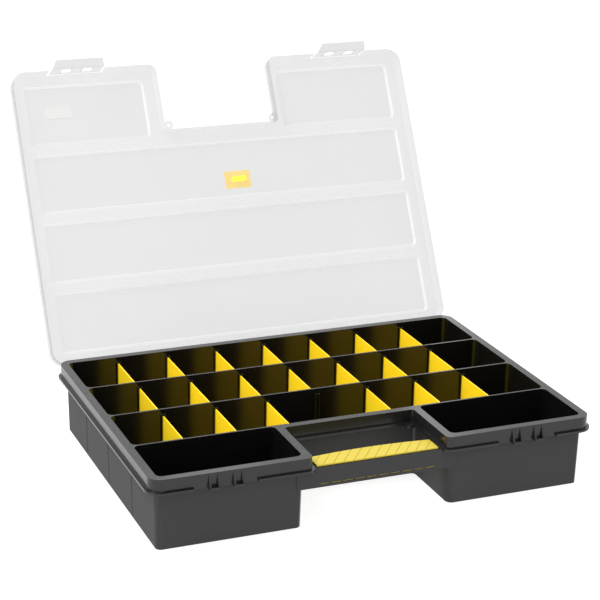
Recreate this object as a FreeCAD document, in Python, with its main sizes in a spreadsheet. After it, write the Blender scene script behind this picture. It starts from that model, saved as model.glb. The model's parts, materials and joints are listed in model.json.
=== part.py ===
# Parts organizer: moulded tray with twenty-five compartments, carry handle with a grip insert,
# clear hinged lid with two snap latches, and twenty lift-out dividers.
# All sizes are in millimetres. The tray stands on z = 0, its middle is x = 0, y = 0, and its
# front (the handle side) faces -Y. The lid is drawn closed and then swung open about its hinge.

import FreeCAD
import Part
import Sketcher
import os

BODY_PLANE = {"XY": "XY_Plane", "XZ": "XZ_Plane", "YZ": "YZ_Plane"}

# Driving sizes: name, value.
DRIVING_SIZES = [
    ("overall_length", 457.0),        # over the tray's stop flange, left to right
    ("tray_depth", 319.0),            # over the stop flange, front to back
    ("rim_height", 72.8),             # floor of the world to the top of the rim
    ("flange_reach", 2.8),            # how far the stop flange stands out of the rim band
    ("flange_thickness", 2.4),
    ("band_height", 12.1),            # outer band of the rim, top to flange
    ("band_thickness", 2.0),
    ("rim_width", 8.2),               # flat top of the rim, outside to inside
    ("wall_thickness", 2.0),
    ("floor_thickness", 2.0),
    ("outer_draft", 1.2),             # degrees
    ("inner_draft", 1.0),             # degrees
    ("rim_corner_radius", 13.0),
    ("notch_tip_radius", 6.0),        # corners where the notch meets the front
    ("notch_root_radius", 3.5),       # corners at the back of the notch
    ("cell_corner_radius", 6.0),
    ("notch_half_width", 68.3),
    ("notch_clearance", 6.6),         # from the front partition to the rim behind the handle notch
    ("row_pitch", 75.5),              # spacing of the fixed partitions
    ("partition_thickness", 2.0),     # at the top edge
    ("cells_per_row", 8.0),
    ("divider_below_rim", 6.8),
    ("divider_thickness", 1.3),
    ("divider_play", 0.3),            # gap all round a divider in its slot
    ("divider_corner", 1.5),          # chamfer on the two lower corners
    ("rib_width", 1.2),
    ("rib_depth", 2.4),
    ("rib_above_divider", 1.5),
    ("latch_offset", 154.5),          # latch centre from the middle of the tray
    ("latch_zone_half", 31.0),        # the flange stops this far from the latch centre
    ("lug_spacing", 23.6),
    ("lug_width", 10.4),
    ("lug_below_rim", 0.8),
    ("lug_height", 14.5),
    ("lug_proud", 4.5),
    ("lug_side", 2.0),
    ("lug_web", 2.0),
    ("lug_root", 1.2),                # how deep the lugs reach into the rim band
    ("bar_below_rim", 13.2),
    ("bar_height", 20.6),
    ("bar_setback", 8.3),             # from the flange's front edge
    ("bar_depth", 19.6),
    ("bar_wall", 2.5),
    ("bar_shelf", 2.0),
    ("bar_lip", 4.1),                 # how far the bar's front hangs below its bottom shelf
    ("slit_count", 10.0),             # slits in the lip that the grip's tongues clip into
    ("slit_margin", 1.5),             # from the row's ends to the grip's ends
    ("slit_bridge", 1.8),
    ("slit_height", 1.0),
    ("bar_lap", 14.7),                # how far the bar's ends run past the notch's sides
    ("grip_end_gap", 5.8),            # from the grip's ends to the notch's sides
    ("grip_wall", 1.7),
    ("grip_play", 0.1),
    ("grip_rear", 4.9),               # thickness of the grip's bowed back at its middle
    ("grip_bow_radius", 500.0),
    ("tongue_setback", 0.9),          # from the bar's front face
    ("eyelet_from_side", 7.0),        # from the rim round the notch to the eyelets' centres
    ("eyelet_from_back", 7.3),
    ("eyelet_radius", 5.0),
    ("eyelet_hole_radius", 2.0),
    ("hinge_behind_flange", 3.7),
    ("hinge_below_rim", 11.8),
    ("hinge_station", 150.0),         # hinge centre from the middle of the tray
    ("pin_radius", 1.8),
    ("pin_play", 0.08),
    ("pin_root", 1.0),                # how deep a pin's ends reach into its cheeks
    ("knuckle_radius", 3.4),
    ("clip_half_width", 15.0),
    ("clip_mouth", 2.6),
    ("clip_side_play", 0.4),
    ("cheek_thickness", 4.0),
    ("open_angle", 118.6),            # degrees the lid swings back from closed
    ("lid_gap", 0.3),                 # between the closed lid and the tray
    ("lid_plate", 1.6),
    ("lid_skirt", 1.6),
    ("panel_height", 4.2),            # how far the panels stand above the border
    ("panel_slope", 16.0),            # degrees, sides of the panels
    ("panel_corner_radius", 6.0),
    ("panel_margin", 13.0),           # border outside the panels
    ("groove_half", 5.0),             # half the groove over each partition
    ("tab_thickness", 1.6),
    ("tab_half_width", 28.6),
    ("tab_below_rim", 18.4),
    ("window_play", 0.4),
    ("lip_length", 11.0),
    ("lip_angle", 37.0),              # degrees the finger lip flares out
    ("lip_half_width", 26.0),
    ("badge_x", 14.4),
    ("badge_y", -26.0),
    ("badge_length", 30.0),
    ("badge_width", 19.5),
    ("badge_thickness", 1.4),
    ("badge_peg_length", 14.4),
    ("badge_peg_width", 4.4),
    ("badge_peg_drop", 4.6),
    ("badge_play", 0.1),
    ("label_x", -178.0),
    ("label_y", -117.0),
    ("label_length", 31.0),
    ("label_width", 14.3),
    ("label_thickness", 0.4),
    ("label_gap", 0.02),
    ("cut_past", 1.0),                # how far a cutting shape runs past the face it cuts
]

# Sizes that follow from the driving ones: name, formula.
DERIVED_SIZES = [
    ("flange_x", "overall_length / 2"),
    ("flange_y", "tray_depth / 2"),
    ("band_x", "flange_x - flange_reach"),
    ("band_y", "flange_y - flange_reach"),
    ("flange_notch_x", "notch_half_width - flange_reach"),
    ("notch_back", "0 - row_pitch - notch_clearance"),
    ("flange_notch_y", "notch_back - flange_reach"),
    ("band_bottom", "rim_height - band_height"),
    ("flange_bottom", "band_bottom - flange_thickness"),
    ("wall_inset", "rim_width - wall_thickness"),
    ("wall_x", "band_x - wall_inset"),
    ("wall_y", "band_y - wall_inset"),
    ("wall_notch_x", "notch_half_width + wall_inset"),
    ("wall_notch_y", "notch_back + wall_inset"),
    ("wall_corner_radius", "rim_corner_radius - wall_inset"),
    ("wall_tip_radius", "cell_corner_radius + wall_thickness"),
    ("flange_corner_radius", "rim_corner_radius + flange_reach"),
    ("flange_tip_radius", "notch_tip_radius + flange_reach"),
    ("hollow_x", "band_x - band_thickness"),
    ("hollow_y", "band_y - band_thickness"),
    ("hollow_notch_x", "notch_half_width + band_thickness"),
    ("hollow_notch_y", "notch_back + band_thickness"),
    ("hollow_corner_radius", "rim_corner_radius - band_thickness"),
    ("hollow_tip_radius", "notch_tip_radius - band_thickness"),
    ("hollow_root_radius", "notch_root_radius + band_thickness"),
    ("hollow_top", "rim_height - band_thickness"),
    ("hollow_depth", "hollow_top - flange_bottom + cut_past"),
    ("hollow_start", "flange_bottom - cut_past"),
    ("inner_x", "band_x - rim_width"),
    ("inner_y", "band_y - rim_width"),
    ("bin_x", "notch_half_width + rim_width"),
    ("half_partition", "partition_thickness / 2"),
    ("row1_front", "row_pitch + half_partition"),
    ("row2_back", "row_pitch - half_partition"),
    ("cavity_depth", "rim_height - floor_thickness"),
    ("cell_pitch", "2 * inner_x / cells_per_row"),
    ("slot_width", "divider_thickness + 2 * divider_play"),
    ("divider_height_above_floor", "cavity_depth - divider_below_rim"),
    ("rib_height", "divider_height_above_floor + rib_above_divider"),
    ("lug_top", "rim_height - lug_below_rim"),
    ("lug_bottom", "lug_top - lug_height"),
    ("eyelet_x", "notch_half_width - eyelet_from_side"),
    ("eyelet_y", "notch_back - eyelet_from_back"),
    ("hinge_y", "flange_y + hinge_behind_flange"),
    ("hinge_height", "rim_height - hinge_below_rim"),
    ("tab_bottom", "rim_height - tab_below_rim"),
    ("lid_bottom", "band_bottom + lid_gap"),
    ("plate_under", "rim_height + lid_gap"),
    ("plate_top", "plate_under + lid_plate"),
    ("panel_top", "plate_top + panel_height"),
    ("panel_x", "flange_x - panel_margin"),
    ("panel_y", "flange_y - panel_margin"),
    ("panel_notch_x", "flange_notch_x + panel_margin"),
    ("skirt_x", "flange_x - lid_skirt"),
    ("skirt_y", "flange_y - lid_skirt"),
    ("skirt_notch_x", "flange_notch_x + lid_skirt"),
    ("skirt_notch_y", "flange_notch_y + lid_skirt"),
    ("skirt_corner_radius", "flange_corner_radius - lid_skirt"),
    ("skirt_tip_radius", "flange_tip_radius - lid_skirt"),
    ("skirt_root_radius", "notch_root_radius + lid_skirt"),
    ("panel1_front", "row_pitch + groove_half"),
    ("panel2_back", "row_pitch - groove_half"),
    ("mouth_inset", "lid_plate"),
    ("panel_x_in", "panel_x - mouth_inset"),
    ("panel_y_in", "panel_y - mouth_inset"),
    ("panel_notch_x_in", "panel_notch_x + mouth_inset"),
    ("panel1_front_in", "panel1_front + mouth_inset"),
    ("panel2_back_in", "panel2_back - mouth_inset"),
    ("groove_half_in", "groove_half + mouth_inset"),
    ("panel_mouth_radius", "panel_corner_radius - mouth_inset"),
    ("bar_top", "rim_height - bar_below_rim"),
    ("bar_front", "0 - flange_y + bar_setback"),
    ("bar_half_length", "notch_half_width + bar_lap"),
    ("grip_half_length", "notch_half_width - grip_end_gap"),
    ("bar_low", "bar_top - bar_height"),
    ("bar_back", "bar_front + bar_depth"),
    ("shelf_low", "bar_low + bar_lip"),
    ("grip_top", "bar_top + grip_play + grip_wall"),
    ("grip_low", "shelf_low - grip_play - grip_wall"),
    ("grip_roof", "bar_top + grip_play"),
    ("grip_floor", "grip_low + grip_wall"),
    ("grip_top_front", "bar_front + bar_wall / 2"),
    ("grip_low_front", "bar_front + bar_wall + grip_play"),
    ("grip_inner_back", "bar_back + grip_play"),
    ("grip_back", "grip_inner_back + grip_rear"),
    ("slit_low", "grip_low + grip_wall / 2 - slit_height / 2"),
    ("slit_pitch", "2 * (grip_half_length - slit_margin) / slit_count"),
    ("slit_length", "slit_pitch - slit_bridge"),
    ("tab_inner", "0 - flange_y + lid_skirt"),
    ("tab_outer", "tab_inner - tab_thickness"),
    ("bead_y", "tab_inner - tab_thickness / 2"),
    ("bead_height", "plate_top - tab_thickness / 2"),
    ("tab_left_left", "0 - latch_offset - tab_half_width"),
    ("tab_left_right", "0 - latch_offset + tab_half_width"),
    ("tab_right_left", "latch_offset - tab_half_width"),
    ("tab_right_right", "latch_offset + tab_half_width"),
    ("no_radius", "0"),
    ("divider_top_step", "(cavity_depth - divider_height_above_floor) * tan(inner_draft * 1deg)"),
    ("divider_side", "divider_height_above_floor - divider_play - divider_corner"),
    ("divider_lean", "divider_side * tan(inner_draft * 1deg)"),
]


def fill_sheet(doc):
    """Write every size into the sheet under its own name."""
    sheet = doc.addObject("Spreadsheet::Sheet", "Sizes")
    row = 1
    for name, value in DRIVING_SIZES:
        sheet.set("A%d" % row, name)
        sheet.set("B%d" % row, str(value))
        sheet.setAlias("B%d" % row, name)
        row += 1
    for name, formula in DERIVED_SIZES:
        sheet.set("A%d" % row, name)
        sheet.set("B%d" % row, "=" + formula)
        sheet.setAlias("B%d" % row, name)
        row += 1
    doc.recompute()
    return sheet


class Builder:
    """Makes the document's objects and ties their sizes to the sheet."""

    def __init__(self, doc, sheet):
        self.doc = doc
        self.sheet = sheet

    def size(self, name):
        """The value of a named size; a leading minus turns its sign."""
        if name == "0":
            return 0.0
        if name.startswith("-"):
            return -float(self.sheet.get(name[1:]))
        return float(self.sheet.get(name))

    def bind(self, target, path, formula):
        """Tie a property to a formula of named sizes."""
        target.setExpression(path, formula)

    def body(self, name):
        return self.doc.addObject("PartDesign::Body", name)

    def sketch(self, body, name, height=None, plane="XY"):
        """A sketch on one of the body's own planes, lifted to a named height."""
        sketch = body.newObject("Sketcher::SketchObject", name)
        for feature in body.Origin.OriginFeatures:
            if getattr(feature, "Role", "") == BODY_PLANE[plane]:
                sketch.AttachmentSupport = [(feature, "")]
        sketch.MapMode = "FlatFace"
        if height:
            self.bind(sketch, "AttachmentOffset.Base.z", "Sizes." + height)
        return sketch

    def outline(self, sketch, corners):
        """A closed outline of level and upright edges; each corner is x, y, radius by name."""
        points = [FreeCAD.Vector(self.size(x), self.size(y), 0) for x, y, r in corners]
        radii = [self.size(r) for x, y, r in corners]
        count = len(corners)
        lines = []
        arcs = []
        turns = []
        for i in range(count):
            here, after, before = points[i], points[(i + 1) % count], points[i - 1]
            way_out = (after - here).normalize()
            way_in = (here - before).normalize()
            turns.append((way_in, way_out, way_in.cross(way_out).z > 0))
        for i in range(count):
            j = (i + 1) % count
            start = points[i] + turns[i][1] * radii[i]
            end = points[j] - turns[i][1] * radii[j]
            lines.append(sketch.addGeometry(Part.LineSegment(start, end), False))
        for i in range(count):
            if radii[i] == 0:
                arcs.append(None)
                continue
            way_in, way_out, left = turns[i]
            centre = points[i] - way_in * radii[i] + way_out * radii[i]
            first = points[i] - way_in * radii[i] - centre
            last = points[i] + way_out * radii[i] - centre
            if not left:
                first, last = last, first
            circle = Part.Circle(centre, FreeCAD.Vector(0, 0, 1), radii[i])
            axis = FreeCAD.Vector(1, 0, 0)
            a = axis.getAngle(first) * (1 if first.y >= -1e-9 else -1)
            b = axis.getAngle(last) * (1 if last.y >= -1e-9 else -1)
            arcs.append(sketch.addGeometry(Part.ArcOfCircle(circle, a, b), False))
        for i in range(count):
            before = lines[i - 1]
            if arcs[i] is None:
                sketch.addConstraint(Sketcher.Constraint("Coincident", before, 2, lines[i], 1))
                continue
            near, far = (1, 2) if turns[i][2] else (2, 1)
            sketch.addConstraint(Sketcher.Constraint("Tangent", before, 2, arcs[i], near))
            sketch.addConstraint(Sketcher.Constraint("Tangent", arcs[i], far, lines[i], 1))
            n = sketch.addConstraint(Sketcher.Constraint("Radius", arcs[i], radii[i]))
            self.bind(sketch, "Constraints[%d]" % n, "Sizes." + corners[i][2])
        for i in range(count):
            x, y, r = corners[i]
            level = abs(turns[i][1].y) < 0.5
            kind, name = ("DistanceY", y) if level else ("DistanceX", x)
            sketch.addConstraint(Sketcher.Constraint("Horizontal" if level else "Vertical", lines[i]))
            n = sketch.addConstraint(Sketcher.Constraint(kind, -1, 1, lines[i], 1, self.size(name)))
            sign = "-" if name.startswith("-") else ""
            self.bind(sketch, "Constraints[%d]" % n, sign + "Sizes." + name.lstrip("-"))

    def notched(self, sketch, x, y, notch_x, notch_y, corner, tip, root):
        """The tray's outline: a rectangle with the handle notch cut into its front."""
        self.outline(sketch, [
            ("-" + x, "-" + y, corner),
            ("-" + notch_x, "-" + y, tip),
            ("-" + notch_x, notch_y, root),
            (notch_x, notch_y, root),
            (notch_x, "-" + y, tip),
            (x, "-" + y, corner),
            (x, y, corner),
            ("-" + x, y, corner),
        ])

    def rectangle(self, sketch, x0, x1, y0, y1, radius):
        self.outline(sketch, [(x0, y0, radius), (x1, y0, radius), (x1, y1, radius), (x0, y1, radius)])

    def pad(self, body, sketch, name, length, taper=None, down=False):
        pad = body.newObject("PartDesign::Pad", name)
        pad.Profile = sketch
        self.bind(pad, "Length", length)
        pad.Reversed = down
        if taper:
            self.bind(pad, "TaperAngle", taper)
        sketch.Visibility = False
        return pad

    def pocket(self, body, sketch, name, length, taper=None, up=False):
        pocket = body.newObject("PartDesign::Pocket", name)
        pocket.Profile = sketch
        self.bind(pocket, "Length", length)
        pocket.Reversed = up
        if taper:
            self.bind(pocket, "TaperAngle", taper)
        sketch.Visibility = False
        return pocket

    def place(self, thing, x, y, z):
        for axis, formula in (("x", x), ("y", y), ("z", z)):
            self.bind(thing, "Placement.Base." + axis, formula)

    def box(self, name, x0, x1, y0, y1, z0, z1):
        """A box between two corners, each given as a formula."""
        box = self.doc.addObject("Part::Box", name)
        self.bind(box, "Length", "(%s) - (%s)" % (x1, x0))
        self.bind(box, "Width", "(%s) - (%s)" % (y1, y0))
        self.bind(box, "Height", "(%s) - (%s)" % (z1, z0))
        self.place(box, x0, y0, z0)
        return box

    def rod(self, name, radius, x0, x1, y, z):
        """A cylinder along X."""
        rod = self.doc.addObject("Part::Cylinder", name)
        rod.Placement.Rotation = FreeCAD.Rotation(FreeCAD.Vector(0, 1, 0), 90)
        self.bind(rod, "Radius", radius)
        self.bind(rod, "Height", "(%s) - (%s)" % (x1, x0))
        self.place(rod, x0, y, z)
        return rod

    def disc(self, name, radius, x, y, z0, z1):
        """An upright cylinder."""
        disc = self.doc.addObject("Part::Cylinder", name)
        self.bind(disc, "Radius", radius)
        self.bind(disc, "Height", "(%s) - (%s)" % (z1, z0))
        self.place(disc, x, y, z0)
        return disc

    def fuse(self, name, shapes):
        fused = self.doc.addObject("Part::MultiFuse", name)
        fused.Shapes = shapes
        fused.Refine = True
        return fused

    def cut(self, name, base, tool):
        cut = self.doc.addObject("Part::Cut", name)
        cut.Base = base
        cut.Tool = tool
        cut.Refine = True
        return cut


def named(*words):
    """A formula in which every word that is a size name points at the sheet."""
    known = [name for name, value in DRIVING_SIZES + DERIVED_SIZES]
    out = []
    for word in " ".join(words).split():
        bare = word.strip("()")
        out.append(word.replace(bare, "Sizes." + bare) if bare in known else word)
    return " ".join(out)


def tray_moulding(b):
    """The tray's walls, rim, flange, floor and partitions, as one Body."""
    body = b.body("TrayMoulding")
    walls = b.sketch(body, "WallOutline", "band_bottom")
    b.notched(walls, "wall_x", "wall_y", "wall_notch_x", "wall_notch_y",
              "wall_corner_radius", "wall_tip_radius", "notch_root_radius")
    b.pad(body, walls, "Walls", "Sizes.band_bottom", "-Sizes.outer_draft", down=True)
    band = b.sketch(body, "BandOutline", "band_bottom")
    b.notched(band, "band_x", "band_y", "notch_half_width", "notch_back",
              "rim_corner_radius", "notch_tip_radius", "notch_root_radius")
    b.pad(body, band, "Band", "Sizes.band_height")
    flange = b.sketch(body, "FlangeOutline", "flange_bottom")
    b.notched(flange, "flange_x", "flange_y", "flange_notch_x", "flange_notch_y",
              "flange_corner_radius", "flange_tip_radius", "notch_root_radius")
    b.pad(body, flange, "Flange", "Sizes.flange_thickness")
    hollow = b.sketch(body, "RimHollowOutline", "hollow_start")
    b.notched(hollow, "hollow_x", "hollow_y", "hollow_notch_x", "hollow_notch_y",
              "hollow_corner_radius", "hollow_tip_radius", "hollow_root_radius")
    b.notched(hollow, "wall_x", "wall_y", "wall_notch_x", "wall_notch_y",
              "wall_corner_radius", "wall_tip_radius", "notch_root_radius")
    b.pocket(body, hollow, "RimHollow", "Sizes.hollow_depth", up=True)
    cavities = [
        ("Row1", "-inner_x", "inner_x", "row1_front", "inner_y"),
        ("Row2", "-inner_x", "inner_x", "half_partition", "row2_back"),
        ("Row3", "-inner_x", "inner_x", "-row2_back", "-half_partition"),
        ("LeftBin", "-inner_x", "-bin_x", "-inner_y", "-row1_front"),
        ("RightBin", "bin_x", "inner_x", "-inner_y", "-row1_front"),
    ]
    for name, x0, x1, y0, y1 in cavities:
        mouth = b.sketch(body, name + "Mouth", "rim_height")
        b.rectangle(mouth, x0, x1, y0, y1, "cell_corner_radius")
        b.pocket(body, mouth, name, "Sizes.cavity_depth", "-Sizes.inner_draft")
    return body


def slot_ribs(b):
    """Pairs of upright ribs that hold the dividers, on both long sides of each row."""
    ribs = []
    faces = [
        ("inner_y - rib_depth", "inner_y"),
        ("row1_front - half_partition", "row1_front + rib_depth"),
        ("row2_back - rib_depth", "row2_back + half_partition"),
        ("0", "half_partition + rib_depth"),
        ("0 - half_partition - rib_depth", "0"),
        ("0 - row2_back", "0 - row2_back + rib_depth"),
    ]
    slots = int(b.size("cells_per_row")) - 1
    for i, (y0, y1) in enumerate(faces):
        for slot in range(slots):
            centre = "cell_pitch * %d" % (slot - slots // 2)
            for side, near in (("L", "0 - slot_width / 2 - rib_width"), ("R", "slot_width / 2")):
                x0 = "%s + ( %s )" % (centre, near)
                ribs.append(b.box(
                    "Rib%d_%d%s" % (i + 1, slot + 1, side),
                    named(x0), named(x0 + " + rib_width"), named(y0), named(y1),
                    named("floor_thickness / 2"), named("floor_thickness + rib_height")))
    return ribs


def catch_lugs(b):
    """The four hollow wedge lugs that the latch windows snap over."""
    parts = []
    for side, sign in (("Left", -1), ("Right", 1)):
        for k, step in enumerate((-0.5, 0.5)):
            centre = "latch_offset * %d + lug_spacing * %s" % (sign, step)
            left = "%s - lug_width / 2" % centre
            for edge, x0 in (("A", left), ("B", "%s + lug_width / 2 - lug_side" % centre)):
                gusset = b.doc.addObject("Part::Wedge", "Gusset%s%d%s" % (side, k + 1, edge))
                gusset.Placement.Rotation = FreeCAD.Rotation(FreeCAD.Vector(1, 0, 0), 90)
                for path, formula in (
                        ("Xmin", "0"), ("Xmax", "lug_side"), ("Ymin", "0"), ("Ymax", "lug_height"),
                        ("Zmin", "0"), ("Zmax", "lug_proud + lug_root"), ("X2min", "0"),
                        ("X2max", "lug_side"), ("Z2min", "0"), ("Z2max", "lug_root")):
                    b.bind(gusset, path, named(formula))
                b.place(gusset, named(x0), named("lug_root - band_y"), named("lug_bottom"))
                parts.append(gusset)
            parts.append(b.box(
                "LugWeb%s%d" % (side, k + 1), named(left), named(left + " + lug_width"),
                named("0 - band_y - lug_proud"), named("lug_root - band_y"),
                named("lug_bottom"), named("lug_bottom + lug_web")))
            parts.append(b.box(
                "LugBack%s%d" % (side, k + 1), named(left), named(left + " + lug_width"),
                named("0 - band_y"), named("band_thickness - band_y"),
                named("lug_bottom"), named("band_bottom + band_thickness")))
    return parts


def slits(b, name, shrink, y0, y1):
    """A row of flat boxes along the bar's lip, each made smaller all round by a formula."""
    row = []
    count = int(b.size("slit_count"))
    for n in range(count):
        centre = "slit_pitch * %s" % (n - (count - 1) / 2)
        row.append(b.box(
            "%s%d" % (name, n + 1),
            named("%s - slit_length / 2 + %s" % (centre, shrink)),
            named("%s + slit_length / 2 - %s" % (centre, shrink)),
            named(y0), named(y1),
            named("slit_low + " + shrink), named("slit_low + slit_height - " + shrink)))
    return row


def handle_bar(b):
    """The channel bar across the notch, open at the back, lapped over both front walls."""
    reach = "wall_notch_x + wall_thickness / 2"
    left = "0 - wall_notch_x - wall_thickness / 2"
    front = b.box("BarFrontBlank", named("0 - bar_half_length"), named("bar_half_length"),
                  named("bar_front"), named("bar_front + bar_wall"), named("bar_low"), named("bar_top"))
    cuts = slits(b, "Slit", "0", "bar_front - cut_past", "bar_front + bar_wall + cut_past")
    return [
        b.cut("BarFront", front, b.fuse("Slits", cuts)),
        b.box("BarTop", named(left), named(reach), named("bar_front"), named("bar_back"),
              named("bar_top - bar_shelf"), named("bar_top")),
        b.box("BarBottom", named(left), named(reach), named("bar_front"), named("bar_back"),
              named("shelf_low"), named("shelf_low + bar_shelf")),
    ]


def tray_hinges(b):
    """Two pairs of cheeks behind the flange, each pair bridged by a moulded pin."""
    parts = []
    for side, sign in (("Left", -1), ("Right", 1)):
        centre = "hinge_station * %d" % sign
        inner = "clip_half_width + clip_side_play"
        for edge, x0 in (("A", "%s - ( %s ) - cheek_thickness" % (centre, inner)),
                         ("B", "%s + %s" % (centre, inner))):
            x1 = x0 + " + cheek_thickness"
            parts.append(b.rod("Cheek%s%s" % (side, edge), named("knuckle_radius"),
                               named(x0), named(x1), named("hinge_y"), named("hinge_height")))
            parts.append(b.box("CheekArm%s%s" % (side, edge), named(x0), named(x1),
                               named("band_y - band_thickness / 2"), named("hinge_y"),
                               named("hinge_height - knuckle_radius"), named("band_bottom")))
        parts.append(b.rod("HingePin" + side, named("pin_radius"),
                           named("%s - ( %s ) - pin_root" % (centre, inner)),
                           named("%s + %s + pin_root" % (centre, inner)),
                           named("hinge_y"), named("hinge_height")))
    return parts


def build_tray(b):
    body = tray_moulding(b)
    parts = [body] + slot_ribs(b) + catch_lugs(b) + handle_bar(b) + tray_hinges(b)
    holes = []
    gaps = []
    for side, sign in (("Left", -1), ("Right", 1)):
        x = "eyelet_x * %d" % sign
        parts.append(b.disc("TrayEyelet" + side, named("eyelet_radius"), named(x), named("eyelet_y"),
                            named("flange_bottom"), named("band_bottom")))
        holes.append(b.disc("TrayEyeletHole" + side, named("eyelet_hole_radius"), named(x),
                            named("eyelet_y"), named("flange_bottom - cut_past"),
                            named("band_bottom + cut_past")))
        zone = "latch_offset * %d" % sign
        gaps.append(b.box("FlangeGap" + side, named(zone + " - latch_zone_half"),
                          named(zone + " + latch_zone_half"), named("0 - flange_y - cut_past"),
                          named("0 - band_y"), named("flange_bottom - cut_past"),
                          named("band_bottom + cut_past")))
    parts[0] = b.cut("TrayTrimmed", body, b.fuse("FlangeGaps", gaps))
    whole = b.fuse("TrayWhole", parts)
    tray = b.cut("Tray", whole, b.fuse("EyeletHoles", holes))
    tray.Label = "tray"
    return tray


def build_grip(b):
    """The grip insert: a channel pushed on from behind the bar, its tongues in the bar's slits."""
    body = b.body("Grip")
    profile = b.sketch(body, "GripProfile", plane="YZ")
    corners = [
        ("grip_top_front", "grip_roof"),
        ("grip_inner_back", "grip_roof"),
        ("grip_inner_back", "grip_floor"),
        ("grip_low_front", "grip_floor"),
        ("grip_low_front", "grip_low"),
        ("grip_back", "grip_low"),
        ("grip_back", "grip_top"),
        ("grip_top_front", "grip_top"),
    ]
    points = [(b.size(y), b.size(z)) for y, z in corners]
    lines = []
    for i, here in enumerate(points):
        lines.append(sketch_line(profile, here, points[(i + 1) % len(points)]))
    for i, (y, z) in enumerate(corners):
        profile.addConstraint(Sketcher.Constraint("Coincident", lines[i - 1], 2, lines[i], 1))
        for kind, value, formula in (("DistanceX", points[i][0], y), ("DistanceY", points[i][1], z)):
            n = profile.addConstraint(Sketcher.Constraint(kind, -1, 1, lines[i], 1, value))
            b.bind(profile, "Constraints[%d]" % n, named(formula))
    pad = b.pad(body, profile, "GripRun", named("2 * grip_half_length"))
    pad.SideType = "Symmetric"
    bow = b.disc("GripBow", named("grip_bow_radius"), "0", named("grip_back - grip_bow_radius"),
                 named("grip_low - cut_past"), named("grip_top + cut_past"))
    bowed = b.doc.addObject("Part::MultiCommon", "GripBowed")
    bowed.Shapes = [body, bow]
    tongues = slits(b, "Tongue", "grip_play", "bar_front + tongue_setback",
                    "grip_low_front + grip_wall")
    grip = b.fuse("GripWhole", [bowed] + tongues)
    grip.Label = "handle_grip"
    return grip


def sketch_line(sketch, here, after):
    start = FreeCAD.Vector(here[0], here[1], 0)
    end = FreeCAD.Vector(after[0], after[1], 0)
    return sketch.addGeometry(Part.LineSegment(start, end), False)


def lid_panels():
    """The raised panels: name, x and y limits by size name, and which sheet names they need."""
    return [
        ("Panel1", "-panel_x", "panel_x", "panel1_front", "panel_y"),
        ("Panel2", "-panel_x", "panel_x", "groove_half", "panel2_back"),
        ("Panel3", "-panel_x", "panel_x", "-panel2_back", "-groove_half"),
        ("PanelLeft", "-panel_x", "-panel_notch_x", "-panel_y", "-panel1_front"),
        ("PanelRight", "panel_notch_x", "panel_x", "-panel_y", "-panel1_front"),
    ]


def lid_moulding(b):
    """The lid's border plate, skirt and raised panels, drawn closed."""
    body = b.body("LidMoulding")
    plate = b.sketch(body, "LidOutline", "lid_bottom")
    b.notched(plate, "flange_x", "flange_y", "flange_notch_x", "flange_notch_y",
              "flange_corner_radius", "flange_tip_radius", "notch_root_radius")
    b.pad(body, plate, "LidBlock", named("plate_top - lid_bottom"))
    for name, x0, x1, y0, y1 in lid_panels():
        foot = b.sketch(body, name + "Foot", "plate_top")
        b.rectangle(foot, x0, x1, y0, y1, "panel_corner_radius")
        b.pad(body, foot, name, "Sizes.panel_height", "-Sizes.panel_slope")
    inside = b.sketch(body, "LidInside", "lid_bottom")
    b.notched(inside, "skirt_x", "skirt_y", "skirt_notch_x", "skirt_notch_y",
              "skirt_corner_radius", "skirt_tip_radius", "skirt_root_radius")
    b.pocket(body, inside, "LidHollow", named("plate_under - lid_bottom"), up=True)
    for name, x0, x1, y0, y1 in lid_panels():
        mouth = b.sketch(body, name + "Mouth", "plate_under")
        b.rectangle(mouth, x0 + "_in", x1 + "_in", y0 + "_in", y1 + "_in", "panel_mouth_radius")
        b.pocket(body, mouth, name + "Hollow", "Sizes.panel_height", "-Sizes.panel_slope", up=True)
    return body


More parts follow.
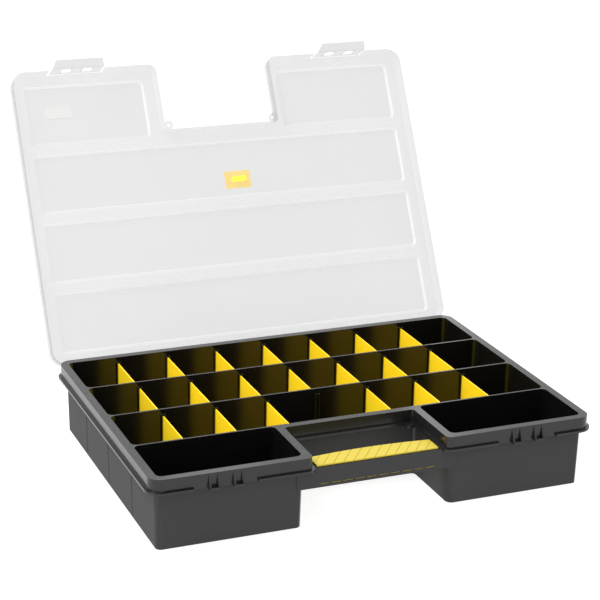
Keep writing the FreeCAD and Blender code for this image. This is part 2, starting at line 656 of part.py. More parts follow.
def build_lid(b):
    parts = [lid_moulding(b)]
    cuts = []
    for side, sign in (("Left", -1), ("Right", 1)):
        x = "eyelet_x * %d" % sign
        parts.append(b.disc("LidEyelet" + side, named("eyelet_radius"), named(x), named("eyelet_y"),
                            named("lid_bottom"), named("lid_bottom + flange_thickness")))
        cuts.append(b.disc("LidEyeletHole" + side, named("eyelet_hole_radius"), named(x),
                           named("eyelet_y"), named("lid_bottom - cut_past"), named("plate_top + cut_past")))
        station = "hinge_station * %d" % sign
        x0, x1 = station + " - clip_half_width", station + " + clip_half_width"
        parts.append(b.rod("Clip" + side, named("knuckle_radius"), named(x0), named(x1),
                           named("hinge_y"), named("hinge_height")))
        parts.append(b.box("ClipRoot" + side, named(x0), named(x1),
                           named("flange_y - lid_skirt / 2"), named("hinge_y"),
                           named("hinge_height + pin_radius - lid_gap / 2"),
                           named("hinge_height + knuckle_radius")))
        cuts.append(b.rod("ClipBore" + side, named("pin_radius + pin_play"), named(x0 + " - cut_past"),
                          named(x1 + " + cut_past"), named("hinge_y"), named("hinge_height")))
        cuts.append(b.box("ClipMouth" + side, named(x0 + " - cut_past"), named(x1 + " + cut_past"),
                          named("hinge_y - clip_mouth / 2"), named("hinge_y + clip_mouth / 2"),
                          named("hinge_height - knuckle_radius - cut_past"), named("hinge_height")))
        zone = "latch_offset * %d" % sign
        cuts.append(b.box("LatchOpening" + side, named(zone + " - latch_zone_half"),
                          named(zone + " + latch_zone_half"), named("0 - flange_y - cut_past"),
                          named("0 - flange_y + lid_skirt + lid_gap"), named("lid_bottom - cut_past"),
                          named("plate_top + cut_past")))
    cuts.append(b.box("BadgeSlot", named("badge_x - badge_peg_length / 2 - badge_play"),
                      named("badge_x + badge_peg_length / 2 + badge_play"),
                      named("badge_y - badge_peg_width / 2 - badge_play"),
                      named("badge_y + badge_peg_width / 2 + badge_play"),
                      named("plate_under"), named("panel_top + cut_past")))
    lid = b.cut("Lid", b.fuse("LidWhole", parts), b.fuse("LidCuts", cuts))
    lid.Label = "lid"
    return lid


def build_latch(b, side, sign):
    """A snap latch: tab with two windows, a round root bead and a flared finger lip."""
    zone = "latch_offset * %d" % sign
    y_in = "tab_inner"
    body = b.body("LatchTab" + side)
    face = b.sketch(body, "TabFace" + side, "tab_bottom")
    b.rectangle(face, "tab_%s_left" % side.lower(), "tab_%s_right" % side.lower(),
                "tab_outer", y_in, "no_radius")
    b.pad(body, face, "Tab" + side, named("bead_height - tab_bottom"))
    bead = b.rod("TabBead" + side, named("tab_thickness / 2"), named(zone + " - tab_half_width"),
                 named(zone + " + tab_half_width"), named("bead_y"), named("bead_height"))
    lip = b.doc.addObject("Part::Wedge", "Lip" + side)
    for path, formula in (
            ("Xmin", "0 - tab_half_width"), ("Xmax", "tab_half_width"), ("Ymin", "0"),
            ("Ymax", "lip_length"), ("Zmin", "0"), ("Zmax", "tab_thickness"),
            ("X2min", "0 - lip_half_width"), ("X2max", "lip_half_width"), ("Z2min", "0"),
            ("Z2max", "tab_thickness")):
        b.bind(lip, path, named(formula))
    turn = FreeCAD.Rotation(FreeCAD.Vector(1, 0, 0), -90 - b.size("lip_angle"))
    lip.Placement.Rotation = turn
    b.place(lip, named(zone), named("tab_inner - tab_thickness"), named("tab_bottom"))
    knee = b.rod("Knee" + side, named("tab_thickness / 2"), named(zone + " - tab_half_width"),
                 named(zone + " + tab_half_width"), named("bead_y"), named("tab_bottom"))
    windows = []
    for k, step in enumerate((-0.5, 0.5)):
        centre = "%s + lug_spacing * %s" % (zone, step)
        windows.append(b.box(
            "Window%s%d" % (side, k + 1),
            named(centre + " - lug_width / 2 - window_play"),
            named(centre + " + lug_width / 2 + window_play"),
            named("tab_outer - cut_past"), named("tab_inner + cut_past"),
            named("lug_bottom - window_play"), named("lug_top - window_play")))
    latch = b.cut("Latch" + side, b.fuse("LatchWhole" + side, [body, bead, knee, lip]),
                  b.fuse("Windows" + side, windows))
    latch.Label = "latch_" + side.lower()
    return latch


def build_badge(b):
    """Snap-in badge: a plate on top of the lid with a peg through its slot."""
    plate = b.box("BadgePlate", named("badge_x - badge_length / 2"), named("badge_x + badge_length / 2"),
                  named("badge_y - badge_width / 2"), named("badge_y + badge_width / 2"),
                  named("panel_top + label_gap"), named("panel_top + label_gap + badge_thickness"))
    peg = b.box("BadgePeg", named("badge_x - badge_peg_length / 2"),
                named("badge_x + badge_peg_length / 2"),
                named("badge_y - badge_peg_width / 2"), named("badge_y + badge_peg_width / 2"),
                named("panel_top - lid_plate - badge_peg_drop"), named("panel_top + badge_thickness / 2"))
    badge = b.fuse("Badge", [plate, peg])
    badge.Label = "badge"
    return badge


def build_label(b):
    """A small blank label stuck under the left front panel."""
    label = b.box("LabelPlate", named("label_x - label_length / 2"), named("label_x + label_length / 2"),
                  named("label_y - label_width / 2"), named("label_y + label_width / 2"),
                  named("panel_top - lid_plate - label_gap - label_thickness"),
                  named("panel_top - lid_plate - label_gap"))
    label.Label = "label"
    return label


def build_divider(b, row, slot, centre_slot, back, front):
    """A flat plate that drops into a pair of slots; its ends follow the drafted walls."""
    name = "divider_row%d_%d" % (row, slot)
    body = b.body("Divider%d%d" % (row, slot))
    body.Label = name
    sketch = b.sketch(body, "Plate%d%d" % (row, slot), plane="YZ")
    play = b.size("divider_play")
    lean = b.size("divider_lean")
    corner = b.size("divider_corner")
    low = b.size("floor_thickness") + play
    high = b.size("floor_thickness") + b.size("divider_height_above_floor")
    y0, y1 = b.size(front) + play, b.size(back) - play
    f0, f1 = y0 + b.size("divider_top_step"), y1 - b.size("divider_top_step")
    points = [
        (f0 + lean + corner, low), (f1 - lean - corner, low), (f1 - lean, low + corner),
        (f1, high), (f0, high), (f0 + lean, low + corner),
    ]
    lines = [sketch_line(sketch, p, points[(i + 1) % 6]) for i, p in enumerate(points)]
    for i in range(6):
        sketch.addConstraint(Sketcher.Constraint("Coincident", lines[i - 1], 2, lines[i], 1))
    front_name, back_name = front.lstrip("-"), back.lstrip("-")
    fs = "0 - " if front.startswith("-") else ""
    bs = "0 - " if back.startswith("-") else ""
    top_front = fs + front_name + " + divider_play + divider_top_step"
    top_back = bs + back_name + " - divider_play - divider_top_step"
    floor = "floor_thickness + divider_play"
    places = [
        (top_front + " + divider_lean + divider_corner", floor),
        (top_back + " - divider_lean - divider_corner", floor),
        (top_back + " - divider_lean", floor + " + divider_corner"),
        (top_back, "floor_thickness + divider_height_above_floor"),
        (top_front, "floor_thickness + divider_height_above_floor"),
        (top_front + " + divider_lean", floor + " + divider_corner"),
    ]
    for i in range(6):
        for kind, value, formula in (("DistanceX", points[i][0], places[i][0]),
                                     ("DistanceY", points[i][1], places[i][1])):
            n = sketch.addConstraint(Sketcher.Constraint(kind, -1, 1, lines[i], 1, value))
            b.bind(sketch, "Constraints[%d]" % n, named(formula))
    pad = b.pad(body, sketch, "Run%d%d" % (row, slot), "Sizes.divider_thickness")
    pad.SideType = "Symmetric"
    b.bind(body, "Placement.Base.x", named("cell_pitch * %d" % (slot - centre_slot)))
    return body


def build_dividers(b):
    """Seven dividers in each of the back two rows; the front row leaves its middle slot empty."""
    dividers = []
    slots = int(b.size("cells_per_row")) - 1
    middle = slots // 2 + 1
    rows = [(1, "inner_y", "row1_front"), (2, "row2_back", "half_partition"),
            (3, "-half_partition", "-row2_back")]
    for row, back, front in rows:
        for slot in range(1, slots + 1):
            if row == 3 and slot == middle:
                continue
            dividers.append(build_divider(b, row, slot, middle, back, front))
    return dividers


def main():
    doc = FreeCAD.newDocument("PartsOrganizer")
    sheet = fill_sheet(doc)
    b = Builder(doc, sheet)
    tray = build_tray(b)
    grip = build_grip(b)
    lid = build_lid(b)
    latches = [build_latch(b, "Left", -1), build_latch(b, "Right", 1)]
    badge = build_badge(b)
    label = build_label(b)
    dividers = build_dividers(b)
    doc.recompute()
    hinge = FreeCAD.Vector(0, b.size("hinge_y"), b.size("hinge_height"))
    swing = FreeCAD.Rotation(FreeCAD.Vector(1, 0, 0), -b.size("open_angle"))
    opened = FreeCAD.Placement(FreeCAD.Vector(0, 0, 0), swing, hinge)
    lid_things = [lid, badge, label] + latches
    bad = [o.Name for o in doc.Objects if "Invalid" in o.State or "Error" in o.State]
    if bad:
        raise RuntimeError("objects that failed: " + ", ".join(bad))
    os.makedirs("parts", exist_ok=True)
    for thing in [tray, grip, lid, badge, label] + latches + dividers:
        shape = thing.Shape.copy()
        if thing in lid_things:
            shape.transformShape(opened.Matrix, False, False)
        if shape.isNull() or not shape.isValid():
            raise RuntimeError("no valid shape for " + thing.Label)
        if len(shape.Solids) != 1:
            raise RuntimeError("%s has %d solids" % (thing.Label, len(shape.Solids)))
        shape.exportStep("parts/%s.step" % thing.Label)
        box = shape.BoundBox
        print("%-18s volume %10.1f  x %.2f %.2f  y %.2f %.2f  z %.2f %.2f" % (
            thing.Label, shape.Volume, box.XMin, box.XMax, box.YMin, box.YMax, box.ZMin, box.ZMax))


main()
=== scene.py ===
import json
import math

import bmesh
import bpy
from mathutils import Matrix, Vector


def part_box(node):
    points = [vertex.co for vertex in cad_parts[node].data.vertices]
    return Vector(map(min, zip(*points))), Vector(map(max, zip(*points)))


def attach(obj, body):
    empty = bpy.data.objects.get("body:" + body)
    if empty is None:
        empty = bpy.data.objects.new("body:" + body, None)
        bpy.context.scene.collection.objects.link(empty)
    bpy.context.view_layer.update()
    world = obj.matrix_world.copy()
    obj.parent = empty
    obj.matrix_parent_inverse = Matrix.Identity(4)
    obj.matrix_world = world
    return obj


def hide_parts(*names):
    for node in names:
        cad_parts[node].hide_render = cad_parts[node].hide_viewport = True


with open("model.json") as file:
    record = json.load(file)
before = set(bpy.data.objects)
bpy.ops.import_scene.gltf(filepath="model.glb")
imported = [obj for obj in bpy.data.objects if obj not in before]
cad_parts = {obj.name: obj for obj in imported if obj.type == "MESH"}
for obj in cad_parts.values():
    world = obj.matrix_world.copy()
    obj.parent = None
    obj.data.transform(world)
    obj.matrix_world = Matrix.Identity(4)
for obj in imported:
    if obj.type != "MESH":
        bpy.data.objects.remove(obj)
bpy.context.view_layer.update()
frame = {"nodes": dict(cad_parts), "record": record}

# Parts organizer: a black tray with a carry handle, a frosted lid swung open, yellow dividers.
# Everything is in metres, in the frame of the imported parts.

mm = 0.001
nodes = frame["nodes"]
bodyOf = {node: body for body, members in frame["record"]["behaviour"]["bodies"].items() for node in members}
print("frame loaded with", len(nodes), "parts")


# Nodes: one way to add them, and sums written as plain expressions

def addNode(tree, kind, settings=None, sockets=None):
    node = tree.nodes.new(kind)
    for key, value in (settings or {}).items():
        setattr(node, key, value)
    for key, value in (sockets or {}).items():
        value = value.socket if isinstance(value, Term) else value
        if isinstance(value, bpy.types.NodeSocket):
            tree.links.new(value, node.inputs[key])
        else:
            node.inputs[key].default_value = value
    return node


class Term:  # a socket that can be added, multiplied and so on
    def __init__(self, tree, socket):
        self.tree = tree
        self.socket = socket

    def sum(self, operation, first, second):
        node = addNode(self.tree, "ShaderNodeMath", {"operation": operation}, {0: first, 1: second})
        return Term(self.tree, node.outputs[0])

    def __add__(self, other):
        return self.sum("ADD", self, other)

    def __radd__(self, other):
        return self.sum("ADD", other, self)

    def __sub__(self, other):
        return self.sum("SUBTRACT", self, other)

    def __rsub__(self, other):
        return self.sum("SUBTRACT", other, self)

    def __mul__(self, other):
        return self.sum("MULTIPLY", self, other)


class Finish:  # a material with its own shader and helpers for patterns
    def __init__(self, name, **constants):
        self.material = bpy.data.materials.new(name)
        self.material.use_nodes = True
        self.tree = self.material.node_tree
        self.shader = self.tree.nodes["Principled BSDF"]
        for key, value in constants.items():
            self.shader.inputs[key.replace("_", " ")].default_value = value
        self.place = addNode(self.tree, "ShaderNodeTexCoord").outputs["Object"]

    def stretched(self, scale):  # object coordinates, pulled out or squeezed along the axes
        sockets = {"Vector": self.place, "Scale": scale}
        return addNode(self.tree, "ShaderNodeMapping", None, sockets).outputs[0]

    def noise(self, scale, detail=2.0, place=None, roughness=0.5):
        sockets = {"Vector": place or self.place, "Scale": scale, "Detail": detail, "Roughness": roughness}
        return Term(self.tree, addNode(self.tree, "ShaderNodeTexNoise", None, sockets).outputs["Fac"])

    def ramp(self, factor, low, high):  # 0 below low, 1 above high
        sockets = {"Value": factor, "From Min": low, "From Max": high}
        return Term(self.tree, addNode(self.tree, "ShaderNodeMapRange", None, sockets).outputs[0])

    def mix(self, factor, first, second):
        sockets = {0: factor, 6: first, 7: second}
        return addNode(self.tree, "ShaderNodeMix", {"data_type": "RGBA"}, sockets).outputs[2]

    def zone(self):  # which part of a piece a face belongs to, from the piece's own mesh
        marks = addNode(self.tree, "ShaderNodeAttribute", {"attribute_name": "zone"})
        return Term(self.tree, marks.outputs["Fac"])

    def feed(self, **inputs):
        for key, value in inputs.items():
            value = value.socket if isinstance(value, Term) else value
            self.tree.links.new(value, self.shader.inputs[key.replace("_", " ")])

    def bump(self, height, strength, distance):
        sockets = {"Height": height, "Strength": strength, "Distance": distance}
        self.feed(Normal=addNode(self.tree, "ShaderNodeBump", None, sockets).outputs[0])


# Finishes

# the first two colours, inside the cells, are darkened as painted shade; the outer two are lightened as painted
# reflection on the outer walls; the mottle within each pair is real wear
blackLook = {
    "deep": (0.0035, 0.0034, 0.0034, 1), "shadedWorn": (0.009, 0.0085, 0.008, 1),
    "litOuterDeep": (0.047, 0.047, 0.048, 1), "litOuterWorn": (0.060, 0.059, 0.059, 1),
    "roughness": 0.18, "outerRoughness": 0.22, "cloudRoughness": 0.10,
    "grainSize": 900, "grainDepth": 0.00010,
    "polish": 1.0, "outerPolish": 0.07, "baseIor": 1.06, "coatIor": 1.5, "coatRoughness": 0.18,
}


def blackPlastic():  # polished inside the cells (zone 0), satin on the outer walls (zone 1); its colour is painted light: much darker inside the cells, painted shade, and lighter on the outer walls, painted reflection
    look = blackLook
    finish = Finish("blackPlastic", IOR=look["baseIor"], Coat_IOR=look["coatIor"],
                    Coat_Roughness=look["coatRoughness"])
    zone = finish.zone()
    cloud = finish.noise(14, 4)
    grain = finish.noise(look["grainSize"], 3)
    scuff = finish.ramp(finish.noise(60, 5, finish.stretched((1, 5, 1)), 0.7), 0.62, 0.78)
    mottle = cloud * 0.6 + scuff * 0.4
    finish.feed(Base_Color=finish.mix(zone, finish.mix(mottle, look["deep"], look["shadedWorn"]),
                                      finish.mix(mottle, look["litOuterDeep"], look["litOuterWorn"])),
                Roughness=look["roughness"] + zone * look["outerRoughness"]
                + cloud * look["cloudRoughness"] + scuff * 0.08,
                Coat_Weight=look["polish"] - zone * (look["polish"] - look["outerPolish"]))
    finish.bump(grain + cloud * 0.5, 0.25, look["grainDepth"])
    return finish.material


yellowLook = {
    "divider": {"colours": ((0.84, 0.56, 0.0, 1), (0.90, 0.64, 0.002, 1)),
                "roughness": 0.30, "subsurface": 0.15, "glow": 0.30},
    "grip": {"colours": ((0.60, 0.47, 0.032, 1), (0.65, 0.52, 0.050, 1)),
             "roughness": 0.42, "subsurface": 0.0, "glow": 0.0},
    "badge": {"colours": ((0.60, 0.36, 0.01, 1), (0.66, 0.42, 0.03, 1)),
              "roughness": 0.35, "subsurface": 0.2, "glow": 1.25},
}


def yellowPlastic(piece):  # its glow stands in for light passing through thin plastic
    look = yellowLook[piece]
    finish = Finish(piece + "Yellow", IOR=1.47, Subsurface_Weight=look["subsurface"],
                    Subsurface_Radius=(0.004, 0.002, 0.0004),
                    Emission_Strength=look["glow"], Emission_Color=(1.0, 0.72, 0.04, 1))
    cloud = finish.noise(35, 4)
    grain = finish.noise(1100, 2)
    flow = finish.noise(25, 3, finish.stretched((1, 1, 6)))
    finish.feed(Base_Color=finish.mix(cloud * 0.6 + flow * 0.4, *look["colours"]),
                Roughness=look["roughness"] + cloud * 0.12)
    finish.bump(grain + flow * 0.6, 0.2, 0.00008)
    return finish.material


# the second colour is painted light, the white given to borders and edges; the glow is painted light as well
frostLook = {
    "panel": (0.16, 0.161, 0.161, 1), "rim": (0.80, 0.80, 0.80, 1), "cloudShare": 0.03,
    "alpha": 0.34, "roughness": 0.45, "glow": 0.24,
}


def frostedPlastic():  # hazy over the flat panels (zone 0), painted whiter at the borders and edges (zone 1), painted light standing in for light passing through the plastic there; its white glow is painted light too, evening out the lid's shading
    look = frostLook
    finish = Finish("frostedPlastic", IOR=1.45, Emission_Strength=look["glow"], Emission_Color=(1, 1, 1, 1))
    zone = finish.zone()
    cloud = finish.noise(9, 3)
    grain = finish.noise(1300, 2)
    finish.feed(Base_Color=finish.mix(zone + (cloud - 0.5) * look["cloudShare"], look["panel"], look["rim"]),
                Roughness=look["roughness"] + cloud * 0.12 + grain * 0.06,
                Alpha=look["alpha"] + cloud * 0.04 + zone * 0.12)
    finish.bump(grain, 0.15, 0.00006)
    return finish.material


def paper():
    finish = Finish("labelStock")
    fibre = finish.noise(700, 5)
    finish.feed(Base_Color=finish.mix(fibre, (0.62, 0.62, 0.61, 1), (0.67, 0.67, 0.66, 1)),
                Roughness=0.5 + fibre * 0.2)
    finish.bump(fibre, 0.2, 0.00005)
    return finish.material


finishes = {
    "black_plastic": blackPlastic(),
    "divider_yellow": yellowPlastic("divider"),
    "grip_yellow": yellowPlastic("grip"),
    "badge_yellow": yellowPlastic("badge"),
    "clear_plastic": frostedPlastic(),
    "label_white": paper(),
}
print("finishes made:", len(finishes))


# Meshes

meshCare = {"merge": 0.002 * mm, "flatBelow": 0.4, "smoothBelow": 38, "normalWeight": 80, "ledgeShare": 2.2}


def cadCopy(node, whole=True):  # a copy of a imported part's mesh, its corners merged and flat faces made whole
    mesh = nodes[node].data.copy()
    bm = bmesh.new()
    bm.from_mesh(mesh)
    bmesh.ops.remove_doubles(bm, verts=bm.verts, dist=meshCare["merge"])
    if whole:
        flat = math.radians(meshCare["flatBelow"])
        bmesh.ops.dissolve_limit(bm, angle_limit=flat, verts=bm.verts, edges=bm.edges)
    bm.to_mesh(mesh)
    bm.free()
    for name in ("custom_normal", "UVMap"):
        if name in mesh.attributes:
            mesh.attributes.remove(mesh.attributes[name])
    return mesh


def roundOff(mesh, name, width, weightOf=None, segments=3, sharpest=30):
    # a piece from a mesh, with its sharp edges rounded; weightOf thins or thickens the rounding by place;
    # the edges of ledges too narrow for two roundings stay sharp
    bm = bmesh.new()
    bm.from_mesh(mesh)
    weights = bm.edges.layers.float.new("bevel_weight_edge")
    for edge in bm.edges:
        if len(edge.link_faces) == 2 and edge.calc_face_angle(0) > math.radians(sharpest):
            share = weightOf(edge) if weightOf else 1.0
            narrowest = min(2 * face.calc_area() / face.calc_perimeter() for face in edge.link_faces)
            edge[weights] = share if narrowest > meshCare["ledgeShare"] * share * width else 0.0
    bm.to_mesh(mesh)
    bm.free()
    thing = bpy.data.objects.new(name, mesh)
    bpy.context.scene.collection.objects.link(thing)
    rounding = thing.modifiers.new("rounding", "BEVEL")
    rounding.limit_method = "WEIGHT"
    rounding.width = width
    rounding.segments = segments
    rounding.use_clamp_overlap = False
    rounding.miter_outer = "MITER_ARC"
    return settle(thing)


def settle(thing):  # bakes a piece's modifiers into a plain mesh, shaded smooth over its rounded edges
    bpy.context.view_layer.update()
    seen = thing.evaluated_get(bpy.context.evaluated_depsgraph_get())
    plain = bpy.data.meshes.new_from_object(seen)
    thing.modifiers.clear()
    thing.data = plain
    plain.name = thing.name
    plain.polygons.foreach_set("use_smooth", [True] * len(plain.polygons))
    plain.set_sharp_from_angle(angle=math.radians(meshCare["smoothBelow"]))
    weighted = thing.modifiers.new("weighted", "WEIGHTED_NORMAL")
    weighted.keep_sharp = True
    weighted.weight = meshCare["normalWeight"]
    return thing


def markZones(thing, zoneOf):  # writes a number from 0 to 1 on every face, for the finishes to read
    mesh = thing.data
    marks = mesh.attributes.new("zone", "FLOAT", "FACE")
    marks.data.foreach_set("value", [zoneOf(face) for face in mesh.polygons])
    return thing


def dress(thing, body, slot, *replaced):
    thing.data.materials.clear()
    thing.data.materials.append(finishes[slot])
    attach(thing, body)
    if replaced:
        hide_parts(*replaced)
    return thing


# Geometry trees: named inputs, a piece out

def geometryTree(name, sizes):
    tree = bpy.data.node_groups.new(name, "GeometryNodeTree")
    tree.interface.new_socket("Geometry", in_out="INPUT", socket_type="NodeSocketGeometry")
    for label, kind in sizes.items():
        tree.interface.new_socket(label, in_out="INPUT", socket_type="NodeSocket" + kind)
    tree.interface.new_socket("Geometry", in_out="OUTPUT", socket_type="NodeSocketGeometry")
    return tree, addNode(tree, "NodeGroupInput").outputs


def closeTree(tree, geometry, material):
    realised = addNode(tree, "GeometryNodeRealizeInstances", None, {0: geometry}).outputs[0]
    painted = addNode(tree, "GeometryNodeSetMaterial", None, {"Geometry": realised, "Material": material})
    addNode(tree, "NodeGroupOutput", None, {0: painted.outputs[0]})
    return tree


def grow(name, tree, values, mesh=None):  # runs a tree with its inputs set, on a mesh or on nothing
    thing = bpy.data.objects.new(name, mesh or bpy.data.meshes.new(name))
    bpy.context.scene.collection.objects.link(thing)
    modifier = thing.modifiers.new(name, "NODES")
    modifier.node_group = tree
    for item in tree.interface.items_tree:
        if item.item_type == "SOCKET" and item.in_out == "INPUT" and item.name in values:
            modifier[item.identifier] = values[item.name]
    return thing


# Tray

traySizes = {"rimRounding": 1.0 * mm, "partitionShare": 0.75, "smallShare": 0.3, "rimTop": 72.8 * mm,
             "lugBox": ((-200 * mm, -175 * mm, 50 * mm), (200 * mm, -150 * mm, 72.7 * mm)),
             "slitBox": ((-80 * mm, -155 * mm, 38 * mm), (80 * mm, -140 * mm, 47 * mm)),
             "lugTopShare": 0.5, "wallReach": 3.5 * mm, "bandFrom": 58 * mm, "bandZone": 0.16,
             "partitionSpacing": 75.5 * mm, "partitionReach": 1.2 * mm, "partitionHalfLength": 214 * mm,
             "frontFrom": -155 * mm, "topSlack": 0.05 * mm}
insides = [space["box_m"] for space in frame["record"]["physics"]["openings"]
           if not space["name"].startswith(("handle", "lid"))]


def within(point, low, high, reach=0.0):
    return all(low[k] - reach < point[k] < high[k] + reach for k in range(3))


def trayWeight(edge):
    middle = (edge.verts[0].co + edge.verts[1].co) / 2
    if any(within(middle, *traySizes[box]) for box in ("lugBox", "slitBox")):
        return 0.0
    if middle.y < traySizes["frontFrom"]:
        return traySizes["lugTopShare"]
    if middle.z > traySizes["rimTop"] - traySizes["topSlack"]:
        fromPartition = min(abs(middle.y), abs(abs(middle.y) - traySizes["partitionSpacing"]))
        inPartition = (fromPartition < traySizes["partitionReach"]
                       and abs(middle.x) < traySizes["partitionHalfLength"])
        return traySizes["partitionShare"] if inPartition else 1.0
    return traySizes["smallShare"]


def trayZone(face):  # inside, rim band, outer walls; 0 gives the darker painted-shade black, 1 the lighter painted-reflection black, the band a little of it
    if any(within(face.center, low, high, traySizes["wallReach"]) for low, high in insides):
        return 0.0
    return traySizes["bandZone"] if face.center.z > traySizes["bandFrom"] else 1.0


tray = roundOff(cadCopy("tray"), "trayShell", traySizes["rimRounding"], trayWeight)
dress(markZones(tray, trayZone), "tray", "black_plastic", "tray")
print("tray rounded:", len(tray.data.polygons), "faces")


# Lid, latches, badge, label

lidSizes = {"rounding": 0.35 * mm, "latchRounding": 0.3 * mm,
            "badgeRounding": 0.3 * mm, "labelRounding": 0.08 * mm,
            "swing": 118.6, "panelDepth": 3 * mm, "borderDepth": 6 * mm, "borderZone": 0.10, "sideZone": 0.45}
inward = Matrix.Rotation(math.radians(-lidSizes["swing"]), 3, "X") @ Vector((0, 0, -1))
lid = roundOff(cadCopy("lid"), "lidShell", lidSizes["rounding"])
outermost = min(face.center.dot(inward) for face in lid.data.polygons)


def lidZone(face):  # the flat panels, the border and skirt round them, and the panels' upright sides; the border and sides get part of the painted-light white
    depth = face.center.dot(inward) - outermost
    if abs(face.normal.dot(inward)) < 0.97 and depth < lidSizes["borderDepth"]:
        return lidSizes["sideZone"]
    return 0.0 if depth < lidSizes["panelDepth"] else lidSizes["borderZone"]


dress(markZones(lid, lidZone), "lid", "clear_plastic", "lid")
for side in ("left", "right"):
    latch = roundOff(cadCopy("latch_" + side, False), "latchTab_" + side, lidSizes["latchRounding"])
    dress(latch, "latch_" + side, "clear_plastic", "latch_" + side)
badge = roundOff(cadCopy("badge", False), "badgePlate", lidSizes["badgeRounding"])
dress(badge, "lid", "badge_yellow", "badge")
dress(roundOff(cadCopy("label"), "blankLabel", lidSizes["labelRounding"]), "lid", "label_white", "label")
print("lid and what it carries made")


# Dividers: one tree, twenty plates

dividerSizes = {"corner": 1.4 * mm, "rounding": 0.32 * mm, "draft": 1.0}


def dividerTree():
    tree, given = geometryTree("dividerPlate", {
        "Bottom": "Float", "Top": "Float", "Height": "Float", "Thickness": "Float", "Corner": "Float",
        "Place": "Vector", "Plastic": "Material"})
    outline = addNode(tree, "GeometryNodeCurvePrimitiveQuadrilateral", {"mode": "TRAPEZOID"}, {
        "Height": given["Height"], "Bottom Width": given["Bottom"], "Top Width": given["Top"], "Offset": 0.0})
    eased = addNode(tree, "GeometryNodeFilletCurve", {"mode": "POLY"}, {
        "Curve": outline.outputs[0], "Count": 3, "Radius": given["Corner"]})
    face = addNode(tree, "GeometryNodeFillCurve", {"mode": "NGONS"}, {0: eased.outputs[0]}).outputs[0]
    thick = addNode(tree, "GeometryNodeExtrudeMesh", {"mode": "FACES"}, {
        "Mesh": face, "Offset Scale": given["Thickness"], "Individual": False}).outputs[0]
    under = addNode(tree, "GeometryNodeFlipFaces", None, {"Mesh": face}).outputs[0]
    both = addNode(tree, "GeometryNodeJoinGeometry")
    tree.links.new(thick, both.inputs[0])
    tree.links.new(under, both.inputs[0])
    whole = addNode(tree, "GeometryNodeMergeByDistance", None, {
        "Geometry": both.outputs[0], "Distance": 1e-6})
    upright = addNode(tree, "GeometryNodeTransform", None, {
        "Geometry": whole.outputs[0], "Translation": given["Place"],
        "Rotation": (math.pi / 2, 0, math.pi / 2)})
    return closeTree(tree, upright.outputs[0], given["Plastic"])


plateTree = dividerTree()
draft = math.tan(math.radians(dividerSizes["draft"]))
count = 0
for node in sorted(nodes):
    if not node.startswith("divider_"):
        continue
    low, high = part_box(node)
    height = high.z - low.z
    plate = grow("plate_" + node[8:], plateTree, {
        "Bottom": high.y - low.y - 2 * height * draft, "Top": high.y - low.y, "Height": height,
        "Thickness": high.x - low.x, "Corner": dividerSizes["corner"],
        "Place": (low.x, (low.y + high.y) / 2, (low.z + high.z) / 2), "Plastic": finishes["divider_yellow"]})
    flat = bpy.data.meshes.new_from_object(plate.evaluated_get(bpy.context.evaluated_depsgraph_get()))
    bpy.data.objects.remove(plate)
    plate = roundOff(flat, "plate_" + node[8:], dividerSizes["rounding"])
    dress(plate, bodyOf[node], "divider_yellow", node)
    count += 1
print("dividers made:", count)


# Grip: slanting grooves cut into the pushed-on channel

gripSizes = {"grooves": 12, "pitch": 10.6 * mm, "width": 0.55 * mm, "length": 60 * mm, "depth": 0.5 * mm,
             "slant": 52, "rounding": 0.4 * mm}


def gripTree():
    tree, given = geometryTree("gripGrooves", {
        "Count": "Int", "Pitch": "Float", "Groove": "Vector", "Slant": "Vector", "First": "Vector",
        "Plastic": "Material"})
    step = addNode(tree, "ShaderNodeCombineXYZ", None, {"X": given["Pitch"]}).outputs[0]
    row = addNode(tree, "GeometryNodeMeshLine", {"mode": "OFFSET"}, {
        "Count": given["Count"], "Start Location": given["First"], "Offset": step}).outputs[0]
    bar = addNode(tree, "GeometryNodeMeshCube", None, {"Size": given["Groove"]}).outputs[0]
    bars = addNode(tree, "GeometryNodeInstanceOnPoints", None, {
        "Points": row, "Instance": bar, "Rotation": given["Slant"]}).outputs[0]
    solid = addNode(tree, "GeometryNodeRealizeInstances", None, {0: bars}).outputs[0]
    cut = addNode(tree, "GeometryNodeMeshBoolean", {"operation": "DIFFERENCE"}, {
        "Mesh 1": given["Geometry"], "Mesh 2": solid}).outputs[0]
    return closeTree(tree, cut, given["Plastic"])


gripLow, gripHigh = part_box("handle_grip")
gripPiece = roundOff(cadCopy("handle_grip"), "gripBlank", gripSizes["rounding"])
gripBlank = gripPiece.data.copy()
bpy.data.objects.remove(gripPiece)
for face, height in (("top", gripHigh.z), ("under", gripLow.z)):
    cutter = grow("gripChannel", gripTree(), {
        "Count": gripSizes["grooves"], "Pitch": gripSizes["pitch"],
        "Groove": (gripSizes["length"], gripSizes["width"], 2 * gripSizes["depth"]),
        "Slant": (0, 0, math.radians(gripSizes["slant"])),
        "First": (-gripSizes["pitch"] * (gripSizes["grooves"] - 1) / 2, (gripLow.y + gripHigh.y) / 2, height),
        "Plastic": finishes["grip_yellow"]}, gripBlank)
    gripBlank = bpy.data.meshes.new_from_object(cutter.evaluated_get(bpy.context.evaluated_depsgraph_get()))
    bpy.data.objects.remove(cutter)
grip = bpy.data.objects.new("gripChannel", gripBlank)
bpy.context.scene.collection.objects.link(grip)
dress(settle(grip), "tray", "grip_yellow", "handle_grip")
print("grip grooved:", len(grip.data.polygons), "faces")


# Slot ribs: a shiny round crown on each, its black lightened as a painted highlight

